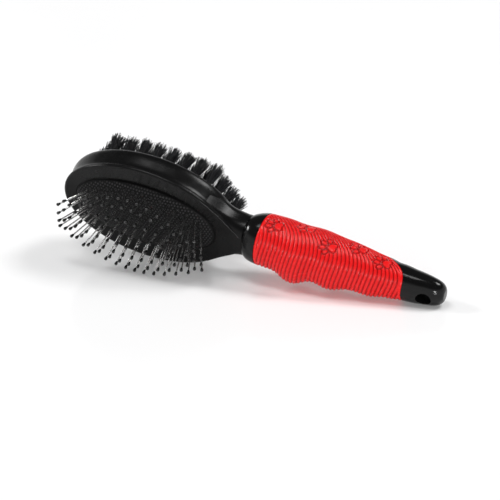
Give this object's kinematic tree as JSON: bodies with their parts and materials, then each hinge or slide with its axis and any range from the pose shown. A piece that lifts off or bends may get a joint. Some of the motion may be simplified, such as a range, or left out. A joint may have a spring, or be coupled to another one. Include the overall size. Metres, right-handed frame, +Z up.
{
  "type": "bristle brush",
  "caption": "Double-sided pet grooming brush: ball-tipped steel pins on an air cushion, nylon bristles behind, ribbed red grip and a hang hole.",
  "frame": {"origin": "middle of the bounding box at table level, with the brush lying as it rests: on its rim, its lowest pin tips and the end of its handle", "axes": "+Z up from the table, +X from the head towards the handle's end, pins facing -Y and a little down"},
  "size_m": [0.2205, 0.0656, 0.0652],
  "materials": {
    "head_plastic": "satin moulded black plastic",
    "cushion_rubber": "black rubber with a fine raised grain",
    "pin_steel": "polished plated steel wire",
    "tip_plastic": "glossy black beads",
    "plate_plastic": "satin black plastic",
    "nylon": "black nylon filament",
    "staple_steel": "flat wire",
    "handle_plastic": "glossy black plastic",
    "grip_rubber": "soft red thermoplastic rubber, ribbed"
  },
  "bodies": {
    "handle_and_head": {"head_frame": "head_plastic", "cushion_bezel": "head_plastic", "bristle_plate": "plate_plastic", "bristle_tufts_row_1": "nylon", "bristle_tufts_row_2": "nylon", "bristle_tufts_row_3": "nylon", "bristle_tufts_row_4": "nylon", "bristle_tufts_row_5": "nylon", "bristle_tufts_row_6": "nylon", "bristle_tufts_row_7": "nylon", "tuft_staples": "staple_steel", "handle_core": "handle_plastic", "grip_sleeve": "grip_rubber"},
    "pin_cushion": {"cushion": "cushion_rubber", "pin_wires_row_1": "pin_steel", "pin_wires_row_2": "pin_steel", "pin_wires_row_3": "pin_steel", "pin_wires_row_4": "pin_steel", "pin_wires_row_5": "pin_steel", "pin_wires_row_6": "pin_steel", "pin_wires_row_7": "pin_steel", "pin_wires_row_8": "pin_steel", "ball_tips_row_1": "tip_plastic", "ball_tips_row_2": "tip_plastic", "ball_tips_row_3": "tip_plastic", "ball_tips_row_4": "tip_plastic", "ball_tips_row_5": "tip_plastic", "ball_tips_row_6": "tip_plastic", "ball_tips_row_7": "tip_plastic", "ball_tips_row_8": "tip_plastic"}
  },
  "joints": [
    {"name": "cushion_press", "type": "slide", "parent": "handle_and_head", "child": "pin_cushion", "axis": [0.05, 0.9436, 0.3273], "range_m": [0, 0.0025], "stiffness_N_per_m": 2000, "deforming": ["cushion"]}
  ]
}
